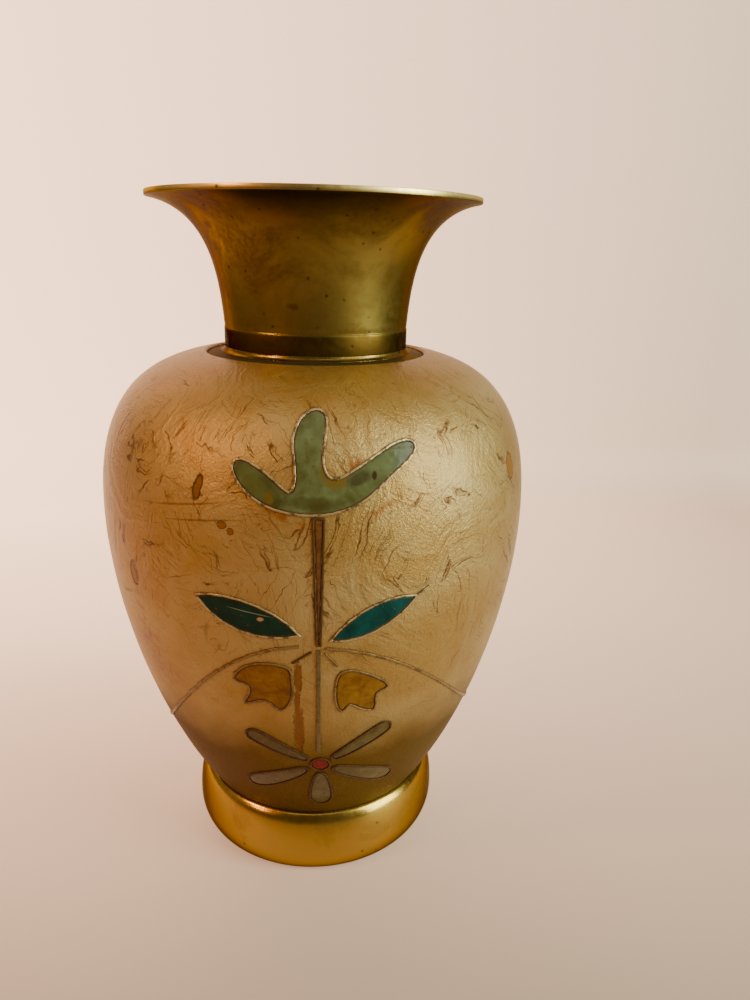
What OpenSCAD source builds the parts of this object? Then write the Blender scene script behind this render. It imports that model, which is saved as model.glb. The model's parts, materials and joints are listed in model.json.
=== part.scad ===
// Footed brass vase with a flared neck, a pearl-enamelled body and a wired flower motif.
// Millimetres. The origin is at the middle of the resting face, +Z is up, and the front motif faces -Y.
// The foot, the body and the neck stand on one another, and each motif follows the body's size.

/* [Overall] */
// Height of the foot ring, up to the body
foot_h = 19.8; // [16:0.1:24]
// Height of the enamelled body
body_h = 129; // [107:0.5:156]
// Height of the neck above the shoulder
neck_h = 39.8; // [33:0.1:48]
// Greatest radius of the brass body, under the enamel
belly_r = 59.6; // [49:0.1:72]

/* [Body] */
// Height of the greatest radius above the foot ring
belly_h = 87.8; // [73:0.1:106]
// Radius of the brass body where it meets the foot
junction_r = 33.9; // [28:0.1:41]
// Wall of both body shells
body_wall = 1.8; // [1.4:0.1:2.4]
// Height of the seam between the two body shells above the greatest radius
seam_rise = 10.4; // [4:0.1:14]
// Height of the tongue that laps inside the seam
lap_h = 5; // [3:0.5:8]
// Thickness of the floor inside the body
floor_t = 2; // [1.5:0.1:4]
// Length of the plug under the floor that sits in the foot
plug_h = 7; // [5:0.5:9]
// Width of the bare shoulder, from the neck to the edge of the enamel
shoulder_w = 5.4; // [3:0.1:8]
// Rise of the bare shoulder towards the neck
shoulder_rise = 1.4; // [0.8:0.1:2]

/* [Neck] */
// Outer radius of the neck where it stands on the shoulder
neck_r = 24.9; // [20:0.1:30]
// Radius of the rim
rim_r = 44.4; // [37:0.1:54]
// Height of the edge of the lip
lip_t = 1.3; // [0.8:0.1:2]
// Wall of the straight throat at the neck's foot
throat_wall = 3.3; // [2.6:0.1:4]
// Height of the straight throat above the shoulder
throat_h = 11; // [8:0.5:16]
// Wall of the flare, square to the surface
neck_wall = 1.7; // [1.2:0.1:2.2]
// Wall of the spigot that goes down into the body
spigot_wall = 2; // [1.5:0.1:2.4]
// Length of the spigot
spigot_h = 8; // [5:0.5:12]
// Height of the turned band at the foot of the neck
band_h = 6; // [4:0.5:9]
// How far the turned band stands out from the neck's foot
band_proud = 0.5; // [0.4:0.05:0.8]

/* [Foot] */
// How far the foot ring swells beyond the enamel above it
foot_swell = 3.6; // [2:0.1:6]
// Height of the foot ring's greatest radius
foot_bulge_z = 7.2; // [5:0.1:10]
// How far the resting face's edge is set in from the greatest radius
rest_inset = 4.1; // [3:0.1:5]
// Wall of the foot ring at its top
foot_wall = 4.1; // [3.2:0.1:6]

/* [Enamel and wires] */
// Thickness of the pearl ground enamel
ground_t = 0.8; // [0.5:0.05:0.9]
// Height of the wires above the brass
wire_h = 1.15; // [1.05:0.05:1.5]
// Height of the coloured enamels above the brass
fill_h = 0.95; // [0.75:0.05:1.15]
// Width of a wire
wire_w = 0.5; // [0.35:0.05:0.8]
// Gap kept between two pieces of the motif
motif_gap = 0.3; // [0.2:0.05:0.6]
// Radius of the daisy's red centre
daisy_r = 2.3; // [1.6:0.1:2.8]
// Width of the two upper petals
upper_petal_w = 3.8; // [2.4:0.1:4.6]
// Width of the two lower petals
lower_petal_w = 5.4; // [3.2:0.1:6]
// Width of the bottom petal
bottom_petal_w = 5.6; // [3.6:0.1:6.4]
// Width of the stem under the tulip
stem_top_w = 2; // [1.6:0.1:2.6]
// Width of the stem where the leaves meet
stem_low_w = 0.5; // [0.4:0.1:1.2]
// Width of the broad wire from the fork down to the daisy
lower_stem_w = 1; // [0.6:0.1:1.4]
// Width of the vines
vine_w = 0.7; // [0.5:0.05:1]
// Width of the solder fillets
fillet_w = 1.1; // [0.6:0.1:1.8]
// Clearance between a spigot or plug and its bore
seat_gap = 0.1; // [0.05:0.05:0.3]

/* [Hidden] */
FLOWER_NODES = [
    "tulip_enamel", "tulip_wire", "upper_stem_enamel", "upper_stem_wire", "lower_stem_wire",
    "left_leaf_enamel", "left_leaf_wire", "right_leaf_enamel", "right_leaf_wire",
    "left_bell_enamel", "left_bell_wire", "right_bell_enamel", "right_bell_wire",
    "left_stalk_wire", "right_stalk_wire", "left_vine_wire", "right_vine_wire",
    "upper_left_petal_enamel", "upper_right_petal_enamel", "lower_left_petal_enamel",
    "lower_right_petal_enamel", "bottom_petal_enamel", "petal_wires",
    "daisy_centre_enamel", "daisy_centre_wire"
];
$fn = 96;
BODY_STEPS = 14;
NECK_STEPS = 14;
FOOT_STEPS = 6;
// How far a cutting shape runs past what it cuts
CUT = 1;
BRASS = "#a8842c";
AGED_BRASS = "#80601e";
PEARL = "#c8a06a";
WIRE = "#d8c48c";
SAGE = "#6d8568";
DARK_GREEN = "#1c4a3c";
TEAL = "#00605c";
OCHRE = "#b87820";
STEM_BROWN = "#6e3a12";
PETAL_CREAM = "#a8946e";
CENTRE_RED = "#c0180e";

// ---- Curves ----

// A point on the cubic curve through the four handles p, at t from 0 to 1
function bezier(p, t) =
    pow(1 - t, 3) * p[0] + 3 * t * pow(1 - t, 2) * p[1] + 3 * t * t * (1 - t) * p[2] + pow(t, 3) * p[3];
function bezier_run(p, steps) = [for (i = [0:steps]) bezier(p, i / steps)];
function unit(v) = v / norm(v);
function reversed(list) = [for (i = [len(list) - 1:-1:0]) list[i]];
// The list without its first point, to join it to a list that ends there
function after_first(list) = [for (i = [1:len(list) - 1]) list[i]];
// Left-hand side of an open line, d away and square to it
function beside(line, d) = [
    for (i = [0:len(line) - 1])
        let (before = line[max(i - 1, 0)], after = line[min(i + 1, len(line) - 1)], u = unit(after - before))
            line[i] + d * [-u[1], u[0]]
];
// A smooth closed loop through the points of a hand-drawn outline
LOOP_STEPS = 3;
function spline_point(a, b, c, d, t) =
    0.5 * (2 * b + (c - a) * t + (2 * a - 5 * b + 4 * c - d) * t * t + (3 * b - a - 3 * c + d) * pow(t, 3));
function loop(points) = [
    for (i = [0:len(points) - 1], s = [0:LOOP_STEPS - 1])
        let (n = len(points))
            spline_point(points[(i + n - 1) % n], points[i], points[(i + 1) % n],
                         points[(i + 2) % n], s / LOOP_STEPS)
];
function sum_of(numbers) = numbers * [for (n = numbers) 1];
// Twice the area inside a closed outline, positive if it runs anticlockwise
function doubled_area(p) = sum_of([for (i = [0:len(p) - 1]) cross(p[i], p[(i + 1) % len(p)])]);
// The same closed outline, grown outwards by d; a sharp tip grows by at most twice d
function grown(p, d) = let (n = len(p), side = doubled_area(p) > 0 ? 1 : -1) [
    for (i = [0:n - 1])
        let (u = unit(p[i] - p[(i + n - 1) % n]), v = unit(p[(i + 1) % n] - p[i]), w = u + v)
            p[i] + side * d * [w[1], -w[0]] / max(1 + u * v, 0.5)
];

// ---- Heights and radii that follow from the sizes above ----

junction_z = foot_h;
belly_z = foot_h + belly_h;
seam_z = belly_z + seam_rise;
shoulder_z = foot_h + body_h;
neck_base_z = shoulder_z + shoulder_rise;
height = neck_base_z + neck_h;
plug_bottom = junction_z - plug_h;
throat_top = neck_base_z + throat_h;
foot_top_r = junction_r + ground_t;
foot_r = foot_top_r + foot_swell;
rest_r = foot_r - rest_inset;
foot_bore_r = foot_top_r - foot_wall;
plug_r = foot_bore_r - seat_gap;
throat_r = neck_r - throat_wall;
mouth_r = throat_r + spigot_wall + seat_gap;
band_r = neck_r + band_proud;
shoulder_r = neck_r + shoulder_w;
// Past the body on every side
beyond = belly_r + 2 * wire_h;

// ---- Body profile: [radius, height] from the foot up to the bare shoulder ----

LOWER_BODY = [
    [junction_r, junction_z],
    [junction_r + (belly_r - junction_r) * 0.575, junction_z + (belly_z - junction_z) * 0.26],
    [belly_r, belly_z - (belly_z - junction_z) * 0.33],
    [belly_r, belly_z]
];
UPPER_BODY = [
    [belly_r, belly_z],
    [belly_r, belly_z + (shoulder_z - belly_z) * 0.6],
    [shoulder_r + (belly_r - shoulder_r) * 0.735, shoulder_z - (shoulder_z - belly_z) * 0.07],
    [shoulder_r, shoulder_z]
];
body_line = concat(bezier_run(LOWER_BODY, BODY_STEPS), after_first(bezier_run(UPPER_BODY, BODY_STEPS)));

// The skin on the body between two heights over the brass, as a ring
module skin(outer_h, inner_h = 0)
    rotate_extrude()
        polygon(concat(beside(body_line, -outer_h), reversed(beside(body_line, -inner_h))));

// Everything between the body's outer line and the axis
module body_core()
    rotate_extrude()
        polygon(concat([[0, plug_bottom], [plug_r, plug_bottom], [plug_r, junction_z]],
                       body_line, [[mouth_r, neck_base_z], [0, neck_base_z]]));

// The hollow inside both shells, from the floor up through the mouth
module body_hollow()
    let (floor_top = plug_bottom + floor_t, ledge_z = junction_z + body_wall)
        rotate_extrude()
            polygon(concat([[0, floor_top], [plug_r - body_wall, floor_top], [plug_r - body_wall, ledge_z]],
                           [for (p = beside(body_line, body_wall)) if (p[1] > ledge_z) p],
                           [[mouth_r, neck_base_z - body_wall], [mouth_r, neck_base_z + CUT],
                            [0, neck_base_z + CUT]]));

// The tongue on the lower shell that laps inside the upper one, in the inner half of the wall
module seam_tongue(slack, top)
    intersection() {
        rotate_extrude()
            polygon(concat(beside(body_line, body_wall / 2 + slack), reversed(beside(body_line, body_wall))));
        translate([0, 0, seam_z - CUT])
            cylinder(r = beyond, h = top + CUT);
    }

module lower_shell() color(BRASS) {
    difference() {
        body_core();
        body_hollow();
        translate([0, 0, seam_z])
            cylinder(r = beyond, h = height);
    }
    seam_tongue(seat_gap / 2, lap_h);
}

module upper_shell() color(BRASS)
    difference() {
        body_core();
        body_hollow();
        translate([0, 0, seam_z - height])
            cylinder(r = beyond, h = height);
        seam_tongue(0, lap_h + seat_gap);
    }

// ---- Foot ring: a bulging ring with a flat resting face ----

module foot_ring() color(BRASS)
    rotate_extrude()
        polygon(concat(
            [[foot_bore_r, 0]],
            [for (i = [0:FOOT_STEPS]) let (a = -90 + 90 * i / FOOT_STEPS)
                [rest_r + rest_inset * cos(a), foot_bulge_z * (1 + sin(a))]],
            [for (i = [1:FOOT_STEPS]) let (a = 90 * i / FOOT_STEPS)
                [foot_top_r + foot_swell * cos(a), foot_bulge_z + (foot_h - foot_bulge_z) * sin(a)]],
            [[foot_bore_r, foot_h]]));

// Solder run into the corner between the body's plug and the inside of the foot ring
module foot_solder_ring() color(WIRE)
    rotate_extrude()
        polygon([[foot_bore_r, plug_bottom], [foot_bore_r, plug_bottom - fillet_w],
                 [foot_bore_r - fillet_w, plug_bottom]]);

// ---- Neck: a straight throat that flares to a thin lip, with a spigot below ----

NECK_OUTSIDE = [
    [neck_r, neck_base_z],
    [neck_r + (rim_r - neck_r) * 0.05, neck_base_z + neck_h * 0.45],
    [neck_r + (rim_r - neck_r) * 0.13, height - neck_h * 0.11],
    [rim_r, height - lip_t]
];
neck_line = bezier_run(NECK_OUTSIDE, NECK_STEPS);
// The inside of the flare, kept only where it is above the straight throat
flare_inside = [
    for (p = beside(neck_line, neck_wall)) if (p[1] > throat_top + CUT && p[0] > throat_r && p[1] < height) p
];

module neck() color(AGED_BRASS) {
    rotate_extrude()
        polygon(concat(
            [[throat_r, neck_base_z], [neck_r, neck_base_z]],
            after_first(neck_line), [[rim_r, height], [rim_r - lip_t, height]],
            reversed(flare_inside), [[throat_r, throat_top]]));
    difference() {
        translate([0, 0, neck_base_z])
            cylinder(r = band_r, h = band_h);
        translate([0, 0, neck_base_z - CUT])
            cylinder(r = neck_r - throat_wall / 2, h = band_h + 2 * CUT);
    }
    difference() {
        translate([0, 0, neck_base_z - spigot_h])
            cylinder(r = throat_r + spigot_wall, h = spigot_h);
        translate([0, 0, neck_base_z - spigot_h - CUT])
            cylinder(r = throat_r, h = spigot_h + 2 * CUT);
    }
}

// Solder run into the corner between the neck and the bare shoulder
module neck_solder_ring() color(WIRE)
    let (slope = shoulder_rise / (shoulder_r - mouth_r), corner_z = neck_base_z - slope * (band_r - mouth_r))
        rotate_extrude()
            polygon([[band_r, corner_z], [band_r + fillet_w, corner_z - slope * fillet_w],
                     [band_r + fillet_w * 0.45, corner_z + fillet_w * 0.45], [band_r, corner_z + fillet_w]]);

// ---- Motif outlines: [sideways, height] as seen from in front ----

// The outlines are drawn for a body of this radius that starts at this height and is this tall
DRAWN_R = 59.6;
DRAWN_Z = 19.8;
DRAWN_H = 129;
// A drawn point, moved to where it belongs on a body of the sizes above
function placed(p) = [p[0] * belly_r / DRAWN_R, junction_z + (p[1] - DRAWN_Z) * body_h / DRAWN_H];
function all_placed(points) = [for (p = points) placed(p)];

tulip = loop(all_placed([
    [-6.6, 125.3], [-5, 128], [-5.1, 132], [-5.4, 136.6], [-3.6, 140.6], [-0.4, 142.2], [1.8, 140.5],
    [1, 134.5], [1.1, 130.8], [2.8, 128.4], [6, 128.9], [16.5, 134.8], [21.2, 135.4], [21.6, 133],
    [15.4, 128], [9, 123.1], [0, 120.8], [-10, 122], [-16.3, 125.6], [-19, 130], [-17, 131.9],
    [-11.8, 129.3]
]));
left_bell = loop(all_placed([
    [-7.3, 80.6], [-12, 81.8], [-17.5, 80.4], [-20.6, 76.3], [-17.2, 74.6], [-17, 71.6], [-18.2, 68.5],
    [-13.2, 70.4], [-9.4, 67.4], [-6.8, 71.2], [-6.6, 76]
]));
right_bell = loop(all_placed([
    [5.4, 78.9], [8.4, 79.6], [13.6, 77], [17.2, 73.4], [14.3, 71.4], [14, 66.3], [11, 67], [7.8, 69.1],
    [5.9, 66.9], [4.5, 70], [4.4, 75.2]
]));
// A leaf is two curves between its tip and its root
LEAF_STEPS = 7;
function leaf(tip, over_tip, over_root, root, under_root, under_tip) = all_placed(concat(
    bezier_run([tip, over_tip, over_root, root], LEAF_STEPS),
    after_first([for (i = [0:LEAF_STEPS - 1]) bezier([root, under_root, under_tip, tip], i / LEAF_STEPS)])));
left_leaf = leaf([-28.6, 98.6], [-22, 101.2], [-10, 98.3], [-4.9, 90.8], [-12, 89], [-22.5, 89.7]);
right_leaf = leaf([23.2, 98.8], [15, 100.6], [7.4, 95.6], [3.1, 89.2], [11, 88.2], [19, 93.4]);

daisy = placed([0.5, 46.3]);
// A petal grows from a narrow root beside the daisy's ring to its full width, and ends round
petal_root_r = daisy_r + 3 * wire_w + motif_gap;
function petal(tip, w) =
    let (u = unit(tip - daisy), v = [-u[1], u[0]] * w, root = daisy + u * petal_root_r, along = tip - root)
        loop([
            root, root + u * 1.5 + v * 0.26, root + along * 0.45 + v * 0.46,
            tip - u * w * 0.6 + v * 0.5, tip - u * w * 0.12 + v * 0.3, tip,
            tip - u * w * 0.12 - v * 0.3, tip - u * w * 0.6 - v * 0.5,
            root + along * 0.45 - v * 0.46, root + u * 1.5 - v * 0.26
        ]);
PETALS = [
    petal(placed([-18.2, 57.9]), upper_petal_w),
    petal(placed([18.5, 59.3]), upper_petal_w),
    petal(placed([-18.7, 35]), lower_petal_w),
    petal(placed([20.1, 36]), lower_petal_w),
    petal(placed([0.9, 26.2]), bottom_petal_w)
];
DAISY_SIDES = 20;
daisy_ring = [
    for (i = [0:DAISY_SIDES - 1]) let (a = 360 * i / DAISY_SIDES) daisy + daisy_r * [cos(a), sin(a)]
];

// The stem runs from the tulip's foot to the fork, where leaves, vines and stalks meet, and on to the daisy
fork = placed([0, 86.8]);
STEM_ABOVE_FORK = 1.3;
STEM_BELOW_FORK = 0.3;
STEM_ABOVE_DAISY = 3.4;
stem_top_z = placed([0, 120.9])[1] - 2 * wire_w - motif_gap;
stem_foot_z = daisy[1] + daisy_r + STEM_ABOVE_DAISY;
upper_stem = [
    [-stem_top_w / 2, stem_top_z], [-stem_low_w / 2, fork[1] + STEM_ABOVE_FORK],
    [stem_low_w / 2, fork[1] + STEM_ABOVE_FORK], [stem_top_w / 2, stem_top_z]
];
lower_stem = [
    [-lower_stem_w / 2, fork[1] - STEM_BELOW_FORK], [-lower_stem_w / 2, stem_foot_z],
    [lower_stem_w / 2, stem_foot_z], [lower_stem_w / 2, fork[1] - STEM_BELOW_FORK]
];
// A straight wire from a to b
function bar(a, b) = let (u = unit(b - a), v = [-u[1], u[0]] * wire_w / 2) [a + v, b + v, b - v, a - v];
left_stalk = bar(placed([-1.6, 86]), placed([-6.4, 82.6]));
right_stalk = bar(placed([1.5, 85.6]), placed([4.6, 81.4]));

// A vine is a strip along a curve that arches from the fork to the body's side
VINE_STEPS = 12;
function strip(handles, w) =
    let (middle = all_placed(bezier_run(handles, VINE_STEPS)))
        concat(beside(middle, w / 2), reversed(beside(middle, -w / 2)));
left_vine = strip([[-4.6, 87.5], [-29.5, 86.1], [-41.8, 49.9], [-46, 37]], vine_w);
right_vine = strip([[1.4, 86.9], [24.2, 85], [39, 62.4], [48, 43]], vine_w);
// The right leaf's wire runs on past its tip
right_leaf_tail = bar(placed([23, 98.7]), placed([26.6, 100.8]));

// ---- Motif pieces: an outline pushed through the skin on the front of the body ----

module pushed(outline) rotate([90, 0, 0]) linear_extrude(height = beyond) polygon(outline);

module enamel(outline, tint) color(tint) intersection() {
    skin(fill_h);
    pushed(outline);
}

module wire(outline) color(WIRE) difference() {
    intersection() {
        skin(wire_h);
        pushed(grown(outline, wire_w));
    }
    pushed(outline);
}

// A wire round an outline that runs on into a straight tail
module tailed_wire(outline, tail) color(WIRE) difference() {
    intersection() {
        skin(wire_h);
        union() {
            pushed(grown(outline, wire_w));
            pushed(tail);
        }
    }
    pushed(outline);
}

module straight_wire(outline) color(WIRE) intersection() {
    skin(wire_h);
    pushed(outline);
}

module flower(piece) {
    if (piece == "tulip_enamel") enamel(tulip, SAGE);
    if (piece == "tulip_wire") wire(tulip);
    if (piece == "upper_stem_enamel") enamel(upper_stem, STEM_BROWN);
    if (piece == "upper_stem_wire") wire(upper_stem);
    if (piece == "lower_stem_wire") straight_wire(lower_stem);
    if (piece == "left_leaf_enamel") enamel(left_leaf, DARK_GREEN);
    if (piece == "left_leaf_wire") wire(left_leaf);
    if (piece == "right_leaf_enamel") enamel(right_leaf, TEAL);
    if (piece == "right_leaf_wire") tailed_wire(right_leaf, right_leaf_tail);
    if (piece == "left_bell_enamel") enamel(left_bell, OCHRE);
    if (piece == "left_bell_wire") wire(left_bell);
    if (piece == "right_bell_enamel") enamel(right_bell, OCHRE);
    if (piece == "right_bell_wire") wire(right_bell);
    if (piece == "left_stalk_wire") straight_wire(left_stalk);
    if (piece == "right_stalk_wire") straight_wire(right_stalk);
    if (piece == "left_vine_wire") straight_wire(left_vine);
    if (piece == "right_vine_wire") straight_wire(right_vine);
    if (piece == "upper_left_petal_enamel") enamel(PETALS[0], PETAL_CREAM);
    if (piece == "upper_right_petal_enamel") enamel(PETALS[1], PETAL_CREAM);
    if (piece == "lower_left_petal_enamel") enamel(PETALS[2], PETAL_CREAM);
    if (piece == "lower_right_petal_enamel") enamel(PETALS[3], PETAL_CREAM);
    if (piece == "bottom_petal_enamel") enamel(PETALS[4], PETAL_CREAM);
    if (piece == "petal_wires") for (p = PETALS) wire(p);
    if (piece == "daisy_centre_enamel") enamel(daisy_ring, CENTRE_RED);
    if (piece == "daisy_centre_wire") wire(daisy_ring);
}

// Everything that the motif takes out of the ground enamel on one side
module motif_space() {
    for (outline = concat([tulip, upper_stem, left_leaf, right_leaf, left_bell, right_bell, daisy_ring], PETALS))
        pushed(grown(outline, wire_w));
    for (outline = [lower_stem, left_stalk, right_stalk, left_vine, right_vine, right_leaf_tail])
        pushed(outline);
}

module ground_enamel() color(PEARL) difference() {
    skin(ground_t);
    motif_space();
    rotate([0, 0, 180]) motif_space();
}

// ---- Nodes ----

foot_ring();
lower_shell();
upper_shell();
neck();
neck_solder_ring();
foot_solder_ring();
ground_enamel();
for (piece = FLOWER_NODES) {
    flower(piece);
    rotate([0, 0, 180]) flower(piece);
}
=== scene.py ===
# %% [markdown]
# # A footed brass vase with an enamelled flower
# This lesson dresses a fixed engineering model of a vase. The model already has the right sizes, so every
# piece here is made in metres, in the model's own place, and nothing is fitted afterwards.
# The vase is a thin brass vessel: two body shells, a neck and a foot ring, soldered together. Over the body
# lies a pearl enamel, and a flower motif in coloured enamels is held between thin brass wires.

# %% Load the frame
import json
import math

import bpy
from mathutils import Matrix, Vector, geometry
from mathutils.bvhtree import BVHTree
from mathutils.kdtree import KDTree

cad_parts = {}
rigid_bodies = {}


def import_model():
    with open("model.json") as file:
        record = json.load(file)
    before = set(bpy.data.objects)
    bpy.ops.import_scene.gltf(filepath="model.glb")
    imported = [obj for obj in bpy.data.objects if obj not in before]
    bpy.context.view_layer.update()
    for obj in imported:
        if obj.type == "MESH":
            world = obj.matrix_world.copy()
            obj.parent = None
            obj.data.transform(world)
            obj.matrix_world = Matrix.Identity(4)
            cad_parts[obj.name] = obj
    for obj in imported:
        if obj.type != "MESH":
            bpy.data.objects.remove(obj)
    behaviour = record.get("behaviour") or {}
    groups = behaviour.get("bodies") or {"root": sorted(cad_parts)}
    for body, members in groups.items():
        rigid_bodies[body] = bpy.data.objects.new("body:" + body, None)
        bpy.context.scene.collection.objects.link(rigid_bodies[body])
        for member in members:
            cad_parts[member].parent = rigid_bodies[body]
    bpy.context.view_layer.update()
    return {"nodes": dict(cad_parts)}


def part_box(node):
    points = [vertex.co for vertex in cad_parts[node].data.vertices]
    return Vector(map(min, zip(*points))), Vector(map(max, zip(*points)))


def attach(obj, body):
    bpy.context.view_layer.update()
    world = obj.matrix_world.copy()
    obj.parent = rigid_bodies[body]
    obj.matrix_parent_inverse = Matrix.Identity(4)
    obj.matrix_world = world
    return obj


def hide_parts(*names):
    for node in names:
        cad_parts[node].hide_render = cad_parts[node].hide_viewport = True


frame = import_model()
MM = 0.001
print("nodes in the frame:", len(frame["nodes"]))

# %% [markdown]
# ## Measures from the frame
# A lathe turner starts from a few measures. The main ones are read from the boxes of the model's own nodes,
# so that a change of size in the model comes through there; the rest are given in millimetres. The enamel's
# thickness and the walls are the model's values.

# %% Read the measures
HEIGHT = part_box("neck")[1].z
RIM_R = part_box("neck")[1].x
NECK_BASE_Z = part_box("upper_shell")[1].z
SPIGOT_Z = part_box("neck")[0].z
SEAM_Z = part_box("upper_shell")[0].z
PLUG_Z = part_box("lower_shell")[0].z
JUNCTION_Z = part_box("foot_ring")[1].z
FOOT_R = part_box("foot_ring")[1].x
GROUND_T = 0.8 * MM
BELLY_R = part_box("ground_enamel")[1].x - GROUND_T
BELLY_Z = 107.6 * MM
JUNCTION_R = 33.9 * MM
SHOULDER_R = 30.3 * MM
SHOULDER_Z = NECK_BASE_Z - 1.4 * MM
BODY_WALL = 1.8 * MM
FLOOR_T = 2 * MM
LAP_H = 5 * MM
NECK_R = 24.9 * MM
NECK_WALL = 1.7 * MM
THROAT_R = 21.6 * MM
THROAT_TOP_Z = NECK_BASE_Z + 11 * MM
SPIGOT_WALL = 2 * MM
SEAT_GAP = 0.1 * MM
LIP_T = 1.3 * MM
BAND_H = 6 * MM
BAND_R = NECK_R + 0.5 * MM
FOOT_BORE_R = 30.6 * MM
FOOT_BULGE_Z = 7.2 * MM
REST_R = FOOT_R - 4.1 * MM
MOUTH_R = THROAT_R + SPIGOT_WALL + SEAT_GAP
PLUG_R = FOOT_BORE_R - SEAT_GAP
print(f"height {HEIGHT / MM:.1f} mm, belly {2 * (BELLY_R + GROUND_T) / MM:.1f} mm across")

# %% [markdown]
# ## Turning on the lathe
# Every part of the vessel is round, and was spun or turned. The same happens here: a circle primitive gives a
# closed ring of points, the points are set on the outline of the wall's cross-section, and the spin operator
# turns that outline about the upright axis. Doubles are merged, which also closes the poles, and the normals
# are made to point outwards. A bevel on the sharp corners catches light as a real edge does.

# %% Lathe helpers
def section_point(r, z):
    return Vector((r, 0, z))


def curve(a, b, c, d, count):
    """Points on the cubic curve with ends a and d and handles b and c."""
    return list(geometry.interpolate_bezier(a, b, c, d, count))


def beside(line, distance):
    """The line moved sideways: to the left of its direction if distance is positive."""
    moved = []
    for i, p in enumerate(line):
        along = (line[min(i + 1, len(line) - 1)] - line[max(i - 1, 0)]).normalized()
        moved.append(p + distance * Vector((-along.z, 0, along.x)))
    return moved


def pick(piece):
    """Deselect everything, then select the piece and make it the active object."""
    bpy.ops.object.select_all(action="DESELECT")
    piece.select_set(True)
    bpy.context.view_layer.objects.active = piece


def apply_modifiers(piece):
    pick(piece)
    for modifier in list(piece.modifiers):
        bpy.ops.object.modifier_apply(modifier=modifier.name)


def lathe(name, section, steps, corner=0.25 * MM):
    bpy.ops.object.select_all(action="DESELECT")
    bpy.ops.mesh.primitive_circle_add(vertices=len(section), radius=RIM_R)
    piece = bpy.context.active_object
    piece.name = piece.data.name = name
    for vertex, place in zip(piece.data.vertices, section):
        vertex.co = place
    bpy.ops.object.mode_set(mode="EDIT")
    bpy.ops.mesh.select_all(action="SELECT")
    bpy.ops.mesh.spin(steps=steps, angle=math.tau, center=(0, 0, 0), axis=(0, 0, 1))
    bpy.ops.mesh.select_all(action="SELECT")
    bpy.ops.mesh.remove_doubles(threshold=0.002 * MM)
    bpy.ops.mesh.normals_make_consistent(inside=False)
    bpy.ops.object.mode_set(mode="OBJECT")
    if corner:
        bevel = piece.modifiers.new("worn corners", "BEVEL")
        bevel.width, bevel.segments, bevel.limit_method = corner, 3, "ANGLE"
        bevel.angle_limit = math.radians(38)
        apply_modifiers(piece)
    pick(piece)
    bpy.ops.object.shade_smooth()
    print(f"{name}: {len(piece.data.polygons)} faces")
    return piece


# %% [markdown]
# ## The body's profile
# One line from the foot to the bare shoulder shapes the two shells and the enamel on them. It is two cubic
# curves that meet, upright, at the belly. Extra points near both ends let the enamel end in a round edge.

# %% Draw the body line
def body_curve(count):
    rise, swell = BELLY_Z - JUNCTION_Z, BELLY_R - JUNCTION_R
    lower = curve(
        section_point(JUNCTION_R, JUNCTION_Z),
        section_point(JUNCTION_R + swell * 0.575, JUNCTION_Z + rise * 0.26),
        section_point(BELLY_R, BELLY_Z - rise * 0.33),
        section_point(BELLY_R, BELLY_Z),
        count,
    )
    rise, swell = SHOULDER_Z - BELLY_Z, BELLY_R - SHOULDER_R
    upper = curve(
        section_point(BELLY_R, BELLY_Z),
        section_point(BELLY_R, BELLY_Z + rise * 0.6),
        section_point(SHOULDER_R + swell * 0.735, SHOULDER_Z - rise * 0.07),
        section_point(SHOULDER_R, SHOULDER_Z),
        count,
    )
    return lower + upper[1:]


body_line = body_curve(90)
shell_line = body_curve(40)
print("points on the body line:", len(body_line))

# %% [markdown]
# ## The two body shells
# A closed vase can't be spun in one piece, so the body is two bowls with a lap joint: a tongue, half the wall
# thick, stands up from the lower bowl inside the upper one. Below, a round plug sits in the foot ring.

# %% Turn the shells
TONGUE_TOP_Z = SEAM_Z + LAP_H
inner_line = beside(shell_line, BODY_WALL)
middle_line = beside(shell_line, BODY_WALL / 2)
LEDGE_Z = JUNCTION_Z + BODY_WALL


def between(line, low, high):
    return [p for p in line if low < p.z < high]


def crossing(line, z):
    """Where the line passes a height."""
    for a, b in zip(line, line[1:]):
        if a.z <= z <= b.z:
            return a.lerp(b, (z - a.z) / (b.z - a.z))


lower_section = (
    [section_point(0, PLUG_Z), section_point(PLUG_R, PLUG_Z), section_point(PLUG_R, JUNCTION_Z)]
    + between(shell_line, 0, SEAM_Z)
    + [crossing(shell_line, SEAM_Z), crossing(middle_line, SEAM_Z)]
    + between(middle_line, SEAM_Z, TONGUE_TOP_Z)
    + [crossing(middle_line, TONGUE_TOP_Z), crossing(inner_line, TONGUE_TOP_Z)]
    + between(inner_line, LEDGE_Z, TONGUE_TOP_Z)[::-1]
    + [section_point(PLUG_R - BODY_WALL, LEDGE_Z), section_point(PLUG_R - BODY_WALL, PLUG_Z + FLOOR_T)]
    + [section_point(0, PLUG_Z + FLOOR_T)]
)
lower_shell = lathe("lower_shell_turned", lower_section, 192)

upper_section = (
    [crossing(shell_line, SEAM_Z)]
    + between(shell_line, SEAM_Z, HEIGHT)
    + [section_point(MOUTH_R, NECK_BASE_Z), section_point(MOUTH_R, NECK_BASE_Z - BODY_WALL)]
    + between(inner_line, TONGUE_TOP_Z + SEAT_GAP, HEIGHT)[::-1]
    + [crossing(inner_line, TONGUE_TOP_Z + SEAT_GAP), crossing(middle_line, TONGUE_TOP_Z + SEAT_GAP)]
    + between(middle_line, SEAM_Z, TONGUE_TOP_Z)[::-1]
    + [crossing(middle_line, SEAM_Z)]
)
upper_shell = lathe("upper_shell_turned", upper_section, 192)

# %% [markdown]
# ## The neck
# The neck stands on the shoulder on a low turned band, rises almost straight, and flares into a thin lip. Its
# inside is a straight throat with a spigot below that drops into the body's mouth.

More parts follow.
